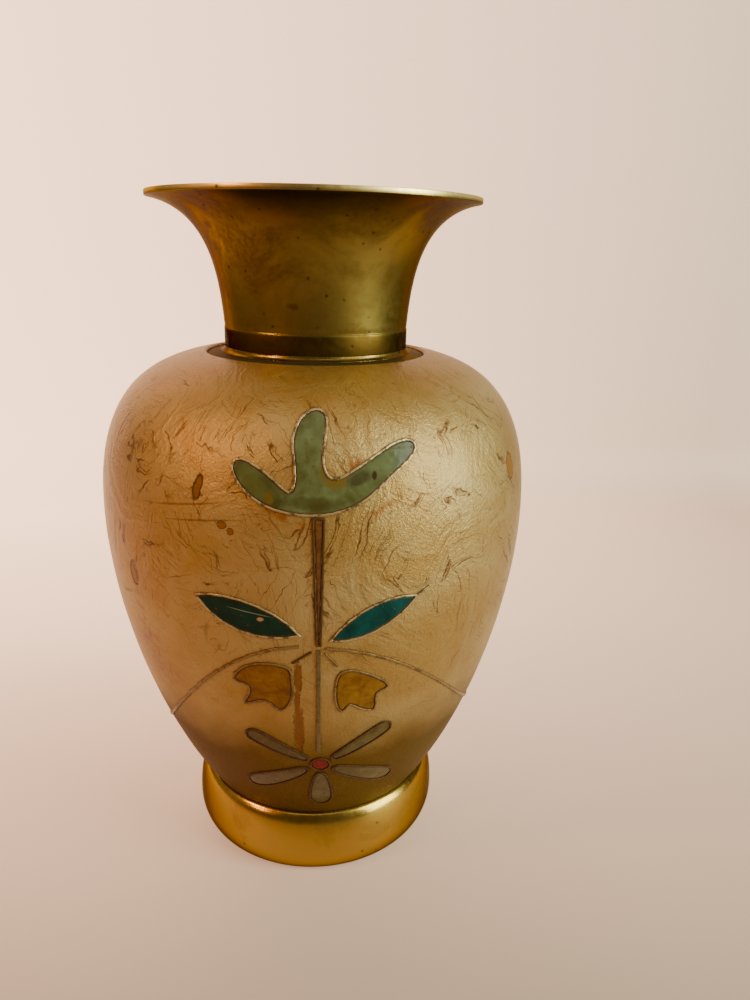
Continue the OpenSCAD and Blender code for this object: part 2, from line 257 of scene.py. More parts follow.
# %% Turn the neck
neck_rise = HEIGHT - NECK_BASE_Z
neck_line = curve(
    section_point(NECK_R, NECK_BASE_Z),
    section_point(NECK_R + 1 * MM, NECK_BASE_Z + neck_rise * 0.45),
    section_point(NECK_R + (RIM_R - NECK_R) * 0.13, HEIGHT - neck_rise * 0.11),
    section_point(RIM_R, HEIGHT - LIP_T),
    64,
)
BAND_TOP_Z = NECK_BASE_Z + BAND_H
flare_line = [
    p
    for p in beside(neck_line, NECK_WALL)
    if p.z > THROAT_TOP_Z + 1 * MM and p.x > THROAT_R and p.z < HEIGHT
]
neck_section = (
    [section_point(THROAT_R, SPIGOT_Z), section_point(THROAT_R + SPIGOT_WALL, SPIGOT_Z)]
    + [section_point(THROAT_R + SPIGOT_WALL, NECK_BASE_Z), section_point(BAND_R, NECK_BASE_Z)]
    + [section_point(BAND_R, BAND_TOP_Z - 0.2 * MM), section_point(BAND_R - 0.2 * MM, BAND_TOP_Z)]
    + between(neck_line, BAND_TOP_Z + 0.3 * MM, HEIGHT)
    + [section_point(RIM_R, HEIGHT), section_point(RIM_R - LIP_T, HEIGHT)]
    + flare_line[::-1]
    + [section_point(THROAT_R, THROAT_TOP_Z)]
)
neck = lathe("neck_turned", neck_section, 256, corner=0.3 * MM)

# %% [markdown]
# ## The foot ring and the solder
# The foot is a ring that bulges like a low tyre, with a flat face below. Solder fills two corners: one shows
# as a bright line where the neck stands on the shoulder, and one is hidden under the foot. Solder runs by
# itself, so its ring gets a slow wave from a displacement texture.

# %% Turn the foot ring
FOOT_TOP_R = JUNCTION_R + GROUND_T
QUARTER = 16


def quarter(centre_r, centre_z, half_r, half_z, start):
    """A quarter of an ellipse, counted from the start angle in degrees."""
    angles = [math.radians(start + 90 * i / QUARTER) for i in range(QUARTER + 1)]
    return [section_point(centre_r + half_r * math.cos(a), centre_z + half_z * math.sin(a)) for a in angles]


foot_section = (
    [section_point(FOOT_BORE_R, 0)]
    + quarter(REST_R, FOOT_BULGE_Z, FOOT_R - REST_R, FOOT_BULGE_Z, -90)
    + quarter(FOOT_TOP_R, FOOT_BULGE_Z, FOOT_R - FOOT_TOP_R, JUNCTION_Z - FOOT_BULGE_Z, 0)[1:]
    + [section_point(FOOT_BORE_R, JUNCTION_Z)]
)
foot = lathe("foot_ring_turned", foot_section, 288)


# %% Run the solder
def ripple(piece, name, size, strength):
    """Push the surface in and out along its normals by a soft noise of the given size."""
    texture = bpy.data.textures.new(name, "CLOUDS")
    texture.noise_scale = size
    modifier = piece.modifiers.new(name, "DISPLACE")
    modifier.texture, modifier.texture_coords, modifier.strength = texture, "LOCAL", strength
    apply_modifiers(piece)


def solder_ring(name, corner_r, corner_z, width, outward, upward, slope=0):
    """A fillet in a corner, with a hollow face as solder has."""
    section = [section_point(corner_r, corner_z)]
    for i in range(9):
        angle = math.radians(90 * i / 8)
        out, rise = width * (1 - math.cos(angle)), width * (1 - math.sin(angle))
        section.append(section_point(corner_r + outward * out, corner_z + upward * rise - slope * out))
    ring = lathe(name, section, 256, corner=0)
    ripple(ring, name + " wave", 6 * MM, 0.12 * MM)
    return ring


FILLET_W = 1.1 * MM
SHOULDER_SLOPE = (NECK_BASE_Z - SHOULDER_Z) / (SHOULDER_R - MOUTH_R)
fillet_z = NECK_BASE_Z - SHOULDER_SLOPE * (BAND_R - MOUTH_R)
neck_solder = solder_ring("neck_solder_run", BAND_R, fillet_z, FILLET_W, 1, 1, SHOULDER_SLOPE)
foot_solder = solder_ring("foot_solder_run", FOOT_BORE_R, PLUG_Z, FILLET_W, -1, -1)

# %% [markdown]
# ## The pearl enamel
# The ground enamel is a thin skin over both shells, with a round edge at the shoulder and at the foot. It is
# turned like the rest, and then gets the faint unevenness of a coat laid on by hand.

# %% Lay the enamel
def skin_depth(line, i):
    """Full thickness over the body, falling off in a quarter round at both ends."""
    from_end = min((line[i] - line[0]).length, (line[i] - line[-1]).length)
    missing = 1 - min(from_end / GROUND_T, 1)
    return GROUND_T * math.sqrt(1 - missing * missing)


END_STEPS = [GROUND_T * s for s in (0.05, 0.18, 0.4, 0.7)]
start_dir = (body_line[1] - body_line[0]).normalized()
end_dir = (body_line[-2] - body_line[-1]).normalized()
skin_line = (
    [body_line[0]]
    + [body_line[0] + start_dir * s for s in END_STEPS]
    + body_line[1:-1]
    + [body_line[-1] + end_dir * s for s in END_STEPS[::-1]]
    + [body_line[-1]]
)
outer_skin = [
    p + (q - p) * (skin_depth(skin_line, i) / GROUND_T)
    for i, (p, q) in enumerate(zip(skin_line, beside(skin_line, -GROUND_T)))
]
ground = lathe("pearl_ground", outer_skin[1:-1] + shell_line[::-2], 384, corner=0)
ripple(ground, "hand-laid coat", 14 * MM, 0.16 * MM)


# %% [markdown]
# ## Wires and enamels of the motif
# In the model each cell and each wire is an exact piece, cut square. Real ones are not: a wire's top is
# rubbed round and its sides carry old dirt, and an enamel sinks and swells a little as it cools. So a copy of
# the model's piece is merged and rebuilt as an even mesh by a voxel remesh, a smooth modifier melts its
# corners, and a fine displacement gives it a hand-made surface.

# %% Melt one piece
def melted(name, node, voxel, melt, ripple_size, ripple_depth):
    source = frame["nodes"][node]
    pick(source)
    bpy.ops.object.duplicate(linked=False)
    piece = bpy.context.active_object
    bpy.ops.object.parent_clear(type="CLEAR_KEEP_TRANSFORM")
    piece.name = piece.data.name = name
    for key in [k for k in piece.keys() if k.startswith("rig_")]:
        del piece[key]
    bpy.ops.object.mode_set(mode="EDIT")
    bpy.ops.mesh.select_all(action="SELECT")
    bpy.ops.mesh.remove_doubles(threshold=0.001 * MM)
    bpy.ops.object.mode_set(mode="OBJECT")
    remesh = piece.modifiers.new("even mesh", "REMESH")
    remesh.mode, remesh.voxel_size = "VOXEL", voxel
    smooth = piece.modifiers.new("melt", "SMOOTH")
    smooth.factor, smooth.iterations = 0.5, melt
    apply_modifiers(piece)
    ripple(piece, name + " surface", ripple_size, ripple_depth)
    bpy.ops.object.shade_smooth()
    return piece


def turned_to_back(piece, name):
    """The same piece on the far side: a copy with its own mesh, turned half round."""
    pick(piece)
    bpy.ops.object.duplicate(linked=False)
    copy = bpy.context.active_object
    copy.name = copy.data.name = name
    copy.data.transform(Matrix.Rotation(math.pi, 4, "Z"))
    return copy


# %% Melt the whole motif
motif = sorted(n.removeprefix("front_") for n in frame["nodes"] if n.startswith("front_"))
wires, enamels = {}, {}
for part in motif:
    is_wire = "wire" in part
    piece = melted(
        "front_" + part + "_piece",
        "front_" + part,
        (0.12 if is_wire else 0.22) * MM,
        3 if is_wire else 7,
        (1.0 if is_wire else 2.4) * MM,
        (0.12 if is_wire else 0.09) * MM,
    )
    (wires if is_wire else enamels)[part] = piece
print("front wires:", len(wires), "front enamels:", len(enamels))

# %% [markdown]
# ## Measures painted on the meshes
# Dirt gathers where a wire meets the enamel. Two attributes carry that to the materials. `lift` says how
# far a point stands above the ground enamel, and `rim` how far it is from the nearest wire.

# %% Measure lift and rim
ground_tree = BVHTree.FromPolygons(
    [v.co for v in ground.data.vertices], [p.vertices for p in ground.data.polygons]
)
SAMPLE = 3
wire_points = [v.co.copy() for w in wires.values() for v in list(w.data.vertices)[::SAMPLE]]
wire_tree = KDTree(2 * len(wire_points))
for i, co in enumerate(wire_points):
    wire_tree.insert(co, 2 * i)
    wire_tree.insert(Vector((-co.x, -co.y, co.z)), 2 * i + 1)
wire_tree.balance()


def measure_lift(piece):
    values = []
    for vertex in piece.data.vertices:
        place, normal, _, _ = ground_tree.find_nearest(vertex.co)
        values.append((vertex.co - place).dot(normal) / MM)
    piece.data.attributes.new("lift", "FLOAT", "POINT").data.foreach_set("value", values)


def measure_rim(piece):
    values = [wire_tree.find(v.co)[2] / MM for v in piece.data.vertices]
    piece.data.attributes.new("rim", "FLOAT", "POINT").data.foreach_set("value", values)


for piece in wires.values():
    measure_lift(piece)
for piece in enamels.values():
    measure_rim(piece)
measure_rim(ground)
print("points of wire:", len(wire_points))

# %% Copy the motif to the back
back_wires = {part: turned_to_back(piece, "back_" + part + "_piece") for part, piece in wires.items()}
back_enamels = {part: turned_to_back(piece, "back_" + part + "_piece") for part, piece in enamels.items()}
print("back pieces:", len(back_wires) + len(back_enamels))

# %% [markdown]
# ## Building materials
# Materials are made of nodes. A few small helpers keep each recipe readable: `put` adds a node and fills its
# sockets, and the others are the sums, ramps and mixes that every recipe needs. Object coordinates are in
# metres, so a pattern's scale is one over its size.

# %% Node helpers
def put(tree, kind, sockets=None, **settings):
    node = tree.nodes.new(kind)
    for name, value in settings.items():
        setattr(node, name, value)
    for name, value in (sockets or {}).items():
        if isinstance(value, bpy.types.NodeSocket):
            tree.links.new(value, node.inputs[name])
        else:
            node.inputs[name].default_value = value
    return node


def sum_of(tree, operation, a, b=0.0, c=0.0):
    return put(tree, "ShaderNodeMath", {0: a, 1: b, 2: c}, operation=operation).outputs[0]


def ramp(tree, value, low, high, to_low=0.0, to_high=1.0):
    """Value, stretched so that low gives to_low and high gives to_high, and held there beyond."""
    sockets = {"Value": value, "From Min": low, "From Max": high, "To Min": to_low, "To Max": to_high}
    return put(tree, "ShaderNodeMapRange", sockets).outputs["Result"]


def blend(tree, amount, a, b):
    """Colour a where amount is 0 and colour b where it is 1."""
    node = put(tree, "ShaderNodeMix", {0: amount}, data_type="RGBA")
    for socket, value in ((node.inputs[6], a), (node.inputs[7], b)):
        if isinstance(value, bpy.types.NodeSocket):
            tree.links.new(value, socket)
        else:
            socket.default_value = (*value, 1.0)
    return node.outputs[2]


def noise(tree, where, size, detail=3.0, rough=0.55, warp=0.0):
    sockets = {"Vector": where, "Scale": 1 / size, "Detail": detail, "Roughness": rough, "Distortion": warp}
    return put(tree, "ShaderNodeTexNoise", sockets).outputs["Fac"]


def shift(tree, operation, a, b):
    return put(tree, "ShaderNodeVectorMath", {0: a, 1: b}, operation=operation).outputs[0]


def scaled(tree, vector, factor):
    return put(tree, "ShaderNodeVectorMath", {0: vector, "Scale": factor}, operation="SCALE").outputs[0]


def attribute(tree, name):
    return put(tree, "ShaderNodeAttribute", attribute_name=name).outputs["Fac"]


def new_group(name, inputs, outputs):
    """A node group with named sockets. Inputs give a socket's kind and its first value."""
    tree = bpy.data.node_groups.new(name, "ShaderNodeTree")
    for label, (kind, value) in inputs.items():
        socket = tree.interface.new_socket(label, in_out="INPUT", socket_type="NodeSocket" + kind)
        if value is not None:
            socket.default_value = value
    for label, kind in outputs.items():
        tree.interface.new_socket(label, in_out="OUTPUT", socket_type="NodeSocket" + kind)
    return tree, tree.nodes.new("NodeGroupInput"), tree.nodes.new("NodeGroupOutput")


def use(tree, group, sockets):
    return put(tree, "ShaderNodeGroup", sockets, node_tree=group)


def new_material(name):
    material = bpy.data.materials.new(name)
    material.use_nodes = True
    tree = material.node_tree
    tree.nodes.clear()
    shader = tree.nodes.new("ShaderNodeBsdfPrincipled")
    output = tree.nodes.new("ShaderNodeOutputMaterial")
    tree.links.new(shader.outputs[0], output.inputs[0])
    where = tree.nodes.new("ShaderNodeTexCoord").outputs["Object"]
    return material, tree, shader, where


def finish_with(tree, shader, sockets):
    for name, value in sockets.items():
        if isinstance(value, bpy.types.NodeSocket):
            tree.links.new(value, shader.inputs[name])
        elif isinstance(value, tuple) and len(value) == 3:
            shader.inputs[name].default_value = (*value, 1.0)
        else:
            shader.inputs[name].default_value = value


def bump(tree, height, depth, strength):
    sockets = {"Height": height, "Distance": depth, "Strength": strength}
    return put(tree, "ShaderNodeBump", sockets).outputs["Normal"]


# %% [markdown]
# ## Effects that several finishes share
# Three effects turn up in more than one material, so each is a node group. `pits` are the pinholes of old
# enamel and brass. `patina` is the cloudy tarnish of handled brass. `brush strokes` are the marks of a stiff
# brush swept in short turning strokes: in each patch a noise is stretched along arcs about a point aside.

# %% Group: pits
def make_pits():
    tree, given, out = new_group(
        "pits",
        {"Vector": ("Vector", None), "Size": ("Float", 0.002), "Share": ("Float", 0.2)},
        {"Mask": "Float"},
    )
    scale = sum_of(tree, "DIVIDE", 1.0, given.outputs["Size"])
    cells = put(tree, "ShaderNodeTexVoronoi", {"Vector": given.outputs["Vector"], "Scale": scale})
    lucky = put(tree, "ShaderNodeSeparateColor", {0: cells.outputs["Color"]}).outputs[0]
    chosen = sum_of(tree, "LESS_THAN", lucky, given.outputs["Share"])
    dot = ramp(tree, cells.outputs["Distance"], 0.10, 0.26, 1.0, 0.0)
    tree.links.new(sum_of(tree, "MULTIPLY", chosen, dot), out.inputs["Mask"])
    return tree


# %% Group: patina
def make_patina():
    tree, given, out = new_group(
        "patina",
        {"Vector": ("Vector", None), "Size": ("Float", 0.02), "Amount": ("Float", 0.5)},
        {"Mask": "Float", "Fine": "Float"},
    )
    where = given.outputs["Vector"]
    scale = sum_of(tree, "DIVIDE", 1.0, given.outputs["Size"])
    sockets = {"Vector": where, "Scale": scale, "Detail": 5.0, "Roughness": 0.62, "Distortion": 0.6}
    cloud = put(tree, "ShaderNodeTexNoise", sockets).outputs["Fac"]
    edge = sum_of(tree, "SUBTRACT", 0.75, sum_of(tree, "MULTIPLY", given.outputs["Amount"], 0.5))
    high = sum_of(tree, "ADD", edge, 0.16)
    tree.links.new(ramp(tree, cloud, edge, high), out.inputs["Mask"])
    fine_scale = sum_of(tree, "MULTIPLY", scale, 14.0)
    sockets = {"Vector": where, "Scale": fine_scale, "Detail": 4.0, "Roughness": 0.7}
    tree.links.new(put(tree, "ShaderNodeTexNoise", sockets).outputs["Fac"], out.inputs["Fine"])
    return tree


# %% Group: brush strokes
def make_strokes():
    tree, given, out = new_group(
        "brush strokes",
        {
            "Vector": ("Vector", None),
            "Patch": ("Float", 0.018),
            "Width": ("Float", 0.0010),
            "Length": ("Float", 0.012),
        },
        {"Height": "Float", "Line": "Float"},
    )
    where, patch = given.outputs["Vector"], given.outputs["Patch"]
    wobble = put(tree, "ShaderNodeTexNoise", {"Vector": where, "Scale": 110.0, "Detail": 3.0})
    centred = shift(tree, "SUBTRACT", wobble.outputs["Color"], (0.5, 0.5, 0.5))
    bent = shift(tree, "ADD", where, scaled(tree, centred, 0.006))
    cells = put(tree, "ShaderNodeTexVoronoi", {"Vector": bent, "Scale": sum_of(tree, "DIVIDE", 1.0, patch)})
    aside = shift(tree, "SUBTRACT", cells.outputs["Color"], (0.5, 0.5, 0.5))
    aside = put(tree, "ShaderNodeVectorMath", {0: aside}, operation="NORMALIZE").outputs[0]
    aside = scaled(tree, aside, sum_of(tree, "MULTIPLY", patch, 1.1))
    pivot = shift(tree, "ADD", cells.outputs["Position"], aside)
    arm = shift(tree, "SUBTRACT", bent, pivot)
    radius = put(tree, "ShaderNodeVectorMath", {0: arm}, operation="LENGTH").outputs["Value"]
    round_way = shift(tree, "CROSS_PRODUCT", (0.0, 0.0, 1.0), where)
    round_way = put(tree, "ShaderNodeVectorMath", {0: round_way}, operation="NORMALIZE").outputs[0]
    level = put(tree, "ShaderNodeVectorMath", {0: arm, 1: round_way}, operation="DOT_PRODUCT")
    upright = put(tree, "ShaderNodeSeparateXYZ", {0: arm}).outputs["Z"]
    turn = sum_of(tree, "ARCTAN2", upright, level.outputs["Value"])
    along = sum_of(tree, "DIVIDE", sum_of(tree, "MULTIPLY", turn, patch), given.outputs["Length"])
    chance = put(tree, "ShaderNodeSeparateColor", {0: cells.outputs["Color"]}).outputs[0]
    plane = put(
        tree,
        "ShaderNodeCombineXYZ",
        {
            0: sum_of(tree, "DIVIDE", radius, given.outputs["Width"]),
            1: along,
            2: sum_of(tree, "MULTIPLY", chance, 40.0),
        },
    ).outputs[0]
    mark = put(tree, "ShaderNodeTexNoise", {"Vector": plane, "Scale": 0.5, "Detail": 2.5, "Roughness": 0.5})
    mark = mark.outputs["Fac"]
    tree.links.new(mark, out.inputs["Height"])
    off_line = sum_of(tree, "ABSOLUTE", sum_of(tree, "SUBTRACT", mark, 0.5))
    line = ramp(tree, off_line, 0.003, 0.016, 1.0, 0.0)
    tree.links.new(line, out.inputs["Line"])
    return tree


PITS, PATINA, STROKES = make_pits(), make_patina(), make_strokes()
print("shared groups:", [g.name for g in bpy.data.node_groups])


# %% [markdown]
# ## Brass
# The same metal has four finishes here: the foot is kept bright by handling, the neck has gone brown and
# blotchy, the bare shoulder and the inside are dark, and the solder is pale. One recipe makes them all from a
# clean colour, a tarnish colour and how far the tarnish has come. The wires have a recipe of their own.

# %% Spots, such as chips and stains
def spots(tree, where, places, ragged):
    """How far a point is from the nearest spot, with 1 at a spot's ragged outline.

    A spot has a centre, half sizes in millimetres, and a lean: how much it rises per step to the right.
    """
    nearest = None
    rag = sum_of(tree, "MULTIPLY", sum_of(tree, "SUBTRACT", noise(tree, where, 2.2 * MM, 4.0), 0.5), ragged)
    for centre, size, lean in places:
        offset = shift(tree, "SUBTRACT", where, tuple(c * MM for c in centre))
        sideways = put(tree, "ShaderNodeSeparateXYZ", {0: offset}).outputs["X"]
        rise = put(tree, "ShaderNodeCombineXYZ", {2: sum_of(tree, "MULTIPLY", sideways, lean)}).outputs[0]
        offset = shift(tree, "SUBTRACT", offset, rise)
        shrunk = shift(tree, "DIVIDE", offset, tuple(half * MM for half in size))
        length = put(tree, "ShaderNodeVectorMath", {0: shrunk}, operation="LENGTH").outputs["Value"]
        nearest = length if nearest is None else sum_of(tree, "MINIMUM", nearest, length)
    return sum_of(tree, "ADD", nearest, rag)


# %% Brass recipe
EDGE_TINT = (0.20, 0.19, 0.13)
PIT_DARK = 0.35


def brass(
    name, clean, tarnish, amount, size, rough, rough_dark, pit_share=0.12, relief=0.5, zones=(), stains=()
):
    """Zones are bands round the vase: heights in millimetres, a colour and its share."""
    material, tree, shader, where = new_material(name)
    patina = use(tree, PATINA, {"Vector": where, "Size": size, "Amount": amount})
    pits = use(tree, PITS, {"Vector": where, "Size": 2.2 * MM, "Share": pit_share}).outputs["Mask"]
    grain = patina.outputs["Fine"]
    cloud = sum_of(tree, "MULTIPLY", patina.outputs["Mask"], ramp(tree, grain, 0.25, 0.7, 0.55, 1.0))
    if stains:
        stained = ramp(tree, spots(tree, where, stains, 1.2), 0.4, 1.0, 1.0, 0.0)
        cloud = sum_of(tree, "MAXIMUM", cloud, stained)
    colour = blend(tree, cloud, clean, tarnish)
    height_z = put(tree, "ShaderNodeSeparateXYZ", {0: where}).outputs["Z"]
    for low, high, tone, share in zones:
        above = ramp(tree, height_z, (low - 0.4) * MM, (low + 0.4) * MM)
        below = ramp(tree, height_z, (high - 0.4) * MM, (high + 0.4) * MM, 1.0, 0.0)
        zone = sum_of(tree, "MULTIPLY", sum_of(tree, "MULTIPLY", above, below), share)
        colour = blend(tree, zone, colour, tone)
    colour = blend(tree, sum_of(tree, "MULTIPLY", pits, 0.75), colour, tuple(PIT_DARK * c for c in tarnish))
    roughness = ramp(tree, cloud, 0.0, 1.0, rough, rough_dark)
    roughness = sum_of(tree, "ADD", roughness, ramp(tree, grain, 0.3, 0.7, -0.03, 0.05))
    height = sum_of(tree, "SUBTRACT", sum_of(tree, "MULTIPLY", grain, 0.25), pits)
    finish_with(
        tree,
        shader,
        {
            "Base Color": colour,
            "Roughness": roughness,
            "Metallic": ramp(tree, cloud, 0.0, 1.0, 1.0, 0.82),
            "Specular Tint": EDGE_TINT,
            "Normal": bump(tree, height, 0.05 * MM, relief),
        },
    )
    return material


# painted highlight: the bright line along the top of the lip
LIP_HIGHLIGHT_BAND = (HEIGHT / MM - 0.9, HEIGHT / MM + 1, (0.85, 0.62, 0.22), 0.9)
# painted reflection: the dark band at the neck's foot stands for the dark shoulder mirrored in it
NECK_BAND_REFLECTION = (NECK_BASE_Z / MM, BAND_TOP_Z / MM - 0.4, (0.085, 0.042, 0.005), 0.85)
NECK_STAINS = [((-15.0, -20.5, 172.0), (2.6, 2.6, 1.8), 0), ((-6.0, -25.0, 163.0), (2.0, 2.0, 1.2), 0)]
FOOT_BRASS = brass(
    "foot brass",
    (0.42, 0.26, 0.045),
    (0.24, 0.135, 0.02),
    0.4,
    26 * MM,
    0.22,
    0.28,
    pit_share=0.03,
    relief=0.12,
)
BODY_BRASS = brass("body brass", (0.28, 0.20, 0.07), (0.11, 0.08, 0.03), 0.8, 16 * MM, 0.36, 0.5)
NECK_BRASS = brass(
    "neck brass",
    (0.24, 0.165, 0.034),
    (0.115, 0.062, 0.010),
    0.6,
    19 * MM,
    0.32,
    0.45,
    zones=(LIP_HIGHLIGHT_BAND, NECK_BAND_REFLECTION),
    stains=NECK_STAINS,
)
SOLDER = brass("solder", (0.26, 0.17, 0.04), (0.11, 0.06, 0.01), 0.6, 6 * MM, 0.28, 0.42)


# %% Wire recipe
WIRE_RAG = 0.5
LOW_SHINE = 0.25


def wire_metal(name, clean, dirt, clean_from, clean_at, broken, metallic=0.6):
    """Clean above the second height and dirty below the first, in millimetres over the ground enamel.

    Broken is the share of dirt in the gaps where the shine is lost.
    """
    material, tree, shader, where = new_material(name)
    uneven = sum_of(tree, "SUBTRACT", noise(tree, where, 1.3 * MM, 4.0), 0.5)
    ragged_lift = sum_of(tree, "MULTIPLY_ADD", uneven, WIRE_RAG, attribute(tree, "lift"))
    top = ramp(tree, ragged_lift, clean_from, clean_at)
    colour = blend(tree, top, dirt, clean)
    gaps = ramp(tree, noise(tree, where, 2.2 * MM, 4.0), 0.52, 0.60, 0.0, broken)
    colour = blend(tree, gaps, colour, dirt)
    finish_with(
        tree,
        shader,
        {
            "Base Color": colour,
            "Metallic": ramp(tree, top, 0.0, 1.0, 0.1, metallic),
            "Specular IOR Level": LOW_SHINE,
            "Roughness": ramp(tree, top, 0.0, 1.0, 0.7, 0.36),
            "Normal": bump(tree, noise(tree, where, 0.6 * MM), 0.04 * MM, 0.6),
        },
    )
    return material


BRIGHT_WIRE = wire_metal("bright wire", (0.42, 0.31, 0.14), (0.07, 0.025, 0.006), 0.06, 0.30, 0.75)
DULL_WIRE = wire_metal("dull wire", (0.17, 0.115, 0.045), (0.06, 0.027, 0.007), 0.08, 0.36, 0.35)
VINE_WIRE = wire_metal("vine wire", (0.23, 0.135, 0.04), (0.09, 0.032, 0.005), 0.08, 0.36, 0.6, 0.4)
DARK_WIRE = wire_metal("dark wire", (0.12, 0.05, 0.006), (0.055, 0.018, 0.002), 0.20, 0.50, 0.5, 0.3)
print("metal finishes:", [m.name for m in bpy.data.materials if "brass" in m.name or "wire" in m.name])

# %% [markdown]
# ## The pearl ground
# The ground is a lacquer full of tiny flakes under a clear coat. The flakes lie along the brush strokes, so
# the strokes show as satin ridges in the shine more than as colour. It is partly metallic for that reason,
# with the clear coat on top. Dirt lies along the wires, and brown stains and a few chips show its age. Low on
# the body the coat is thinner, and a darker gold there is a painted reflection of a dark surface below.

# %% Where the chips, stains and scratches are
CHIPS = [
    ((-27.4, -54.0, 125.6), (1.9, 3.0, 4.0), 1.3),
    ((-45.6, -38.2, 98.4), (2.0, 2.0, 3.6), 0),
    ((50.2, -31.0, 124.2), (2.4, 2.4, 3.8), 0),
    ((49.6, -31.0, 119.6), (1.1, 1.1, 1.6), 0),
    ((-21.8, -55.5, 117.2), (1.3, 1.3, 1.0), 0),
    ((-19.8, -56.4, 115.8), (0.9, 0.9, 0.9), 0),
]
WORN_STRIP = [
    ((-5.1, -56.0, 78.0), (1.1, 9.0, 6.5), 0),
    ((-5.3, -55.0, 69.0), (0.8, 9.0, 8.0), 0),
    ((-5.0, -54.0, 59.5), (1.4, 9.0, 10.0), 0),
]
STAINS = [
    ((-43.8, -35.8, 79.0), (7.0, 7.0, 10.0), 0),
    ((-39.5, -37.0, 70.0), (5.0, 5.0, 7.0), 0),
    ((-44.0, -37.0, 92.0), (4.0, 4.0, 7.0), 0),
    ((8.5, -57.0, 130.5), (4.0, 5.0, 4.0), 0),
    ((-9.0, -58.8, 119.5), (10.0, 4.0, 3.0), -0.3),
    ((-3.0, -57.0, 127.0), (2.5, 5.0, 3.0), 0),
    ((14.0, -57.0, 121.0), (5.0, 5.0, 2.0), 0.4),
]
CREASES = [
    ((-30.0, -51.0, 120.7), (10.5, 12.0, 0.35), 0.18),
    ((-26.0, -53.0, 117.6), (11.0, 12.0, 0.30), 0.14),
]


# %% Colours and heights of the ground
PEARL_DEEP, PEARL_LIGHT = (0.36, 0.195, 0.042), (0.45, 0.305, 0.11)
HAIR_BROWN, SPECK_BROWN = (0.10, 0.032, 0.005), (0.20, 0.08, 0.015)
# the second colour is a painted reflection: darker gold low on the body
NECK_GOLD, DARK_REFLECTION_GOLD = (0.30, 0.15, 0.01), (0.12, 0.062, 0.0)
RIM_DIRT, STAIN_BROWN = (0.13, 0.045, 0.008), (0.22, 0.055, 0.004)
STRIP_BROWN, STRIP_EDGE = (0.20, 0.065, 0.004), (0.05, 0.015, 0.003)
CHIP_BROWN, CHIP_EDGE = (0.22, 0.085, 0.010), (0.05, 0.015, 0.004)
CREASE_BROWN = (0.16, 0.055, 0.008)
BRUSHED_FROM, BRUSHED_FULL = 66 * MM, 104 * MM
NECK_GOLD_FROM, NECK_GOLD_FULL = 147 * MM, 154 * MM
# heights where the painted reflection low on the body is full and where it ends
DARK_REFLECTION_FULL, DARK_REFLECTION_TO = 54 * MM, 72 * MM
WANDER = 14 * MM
BROAD_STROKES = {"Patch": 26 * MM, "Width": 1.5 * MM, "Length": 34 * MM}
FINE_STROKES = {"Patch": 13 * MM, "Width": 0.7 * MM, "Length": 11 * MM}


# %% Pearl recipe
def outlined(tree, edge, width_in, width_out, share):
    """A dark line along the outline of spots: full within width_in of it and gone at width_out."""
    off_line = sum_of(tree, "ABSOLUTE", sum_of(tree, "SUBTRACT", edge, 0.95))
    return ramp(tree, off_line, width_in, width_out, share, 0.0)


